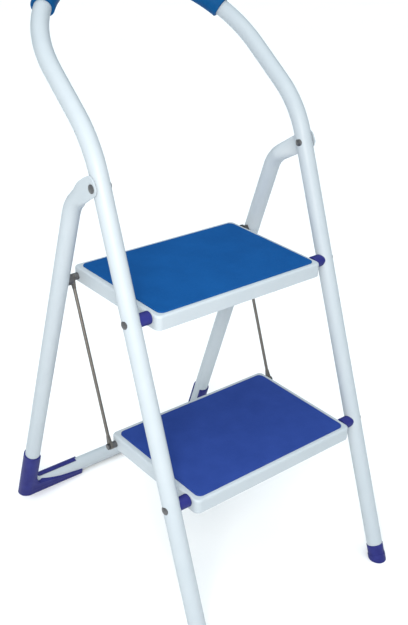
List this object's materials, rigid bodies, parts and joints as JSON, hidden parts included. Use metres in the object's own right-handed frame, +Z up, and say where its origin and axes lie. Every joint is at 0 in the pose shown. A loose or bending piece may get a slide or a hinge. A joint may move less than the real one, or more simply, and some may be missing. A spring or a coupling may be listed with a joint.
{
  "type": "folding step ladder",
  "caption": "Folding household step ladder with leaning tubular front frame and handrail arch, hinged U-shaped rear frame, hinged sheet-steel steps with mats, and link rods.",
  "frame": {"origin": "middle of the footprint box on the floor, under the middle of the ladder", "axes": "+Z up, +X to the right of a user who faces the ladder to climb, +Y from the user towards the rear frame"},
  "size_m": [0.4006, 0.5307, 0.8844],
  "materials": {
    "white_coat": "gloss white powder coat on steel",
    "step_mat": "matt blue moulded mat",
    "blue_plastic": "satin violet-blue moulded plastic",
    "grip_blue": "satin blue sleeve",
    "zinc_steel": "dull zinc plated steel",
    "rod_steel": "dull drawn steel wire",
    "dark_plastic": "dark grey moulded plastic"
  },
  "bodies": {
    "front_frame": {"front_frame_tube": "white_coat", "handrail_grip": "grip_blue", "front_foot_left": "blue_plastic", "front_foot_right": "blue_plastic", "upper_pivot_bolts": "zinc_steel", "lower_pivot_bolts": "zinc_steel", "upper_pivot_spacers": "blue_plastic", "lower_pivot_spacers": "blue_plastic", "pivot_washers": "zinc_steel", "pivot_nuts": "zinc_steel", "leg_hinge_rivets": "zinc_steel"},
    "rear_frame": {"rear_frame_tube": "white_coat", "rear_shoe_left": "blue_plastic", "rear_shoe_right": "blue_plastic", "support_hook_left": "zinc_steel", "support_hook_right": "zinc_steel"},
    "upper_step": {"upper_step_tray": "white_coat", "upper_step_mat": "step_mat", "upper_link_pins": "zinc_steel", "upper_pin_rollers": "dark_plastic", "link_pin_washers_upper": "zinc_steel"},
    "lower_step": {"lower_step_tray": "white_coat", "lower_step_mat": "step_mat", "lower_link_pins": "zinc_steel", "lower_pin_caps": "dark_plastic", "link_pin_washers_lower": "zinc_steel"},
    "link_rod_left": {"link_rod_left": "rod_steel"},
    "link_rod_right": {"link_rod_right": "rod_steel"}
  },
  "joints": [
    {"name": "upper_step_fold", "type": "hinge", "parent": "front_frame", "child": "upper_step", "pos_m": [0, -0.07002, 0.47], "axis": [1, 0, 0], "range_deg": [0, 66]},
    {"name": "lower_step_fold", "type": "hinge", "parent": "front_frame", "child": "lower_step", "pos_m": [0, -0.16376, 0.2258], "axis": [1, 0, 0], "range_deg": [0, 66]},
    {"name": "rear_frame_fold", "type": "hinge", "parent": "front_frame", "child": "rear_frame", "pos_m": [0, -0.00534, 0.6385], "axis": [1, 0, 0], "range_deg": [-36.3, 0]},
    {"name": "link_rod_left_pivot", "type": "hinge", "parent": "upper_step", "child": "link_rod_left", "pos_m": [-0.163, 0.10498, 0.464], "axis": [1, 0, 0], "range_deg": [-66, 0]},
    {"name": "link_rod_right_pivot", "type": "hinge", "parent": "upper_step", "child": "link_rod_right", "pos_m": [0.163, 0.10498, 0.464], "axis": [1, 0, 0], "range_deg": [-66, 0]}
  ],
  "couplings": [
    {"joint": "lower_step_fold", "follows": "upper_step_fold", "ratio": 1},
    {"joint": "rear_frame_fold", "follows": "upper_step_fold", "ratio": -0.55},
    {"joint": "link_rod_left_pivot", "follows": "upper_step_fold", "ratio": -1},
    {"joint": "link_rod_right_pivot", "follows": "upper_step_fold", "ratio": -1}
  ]
}
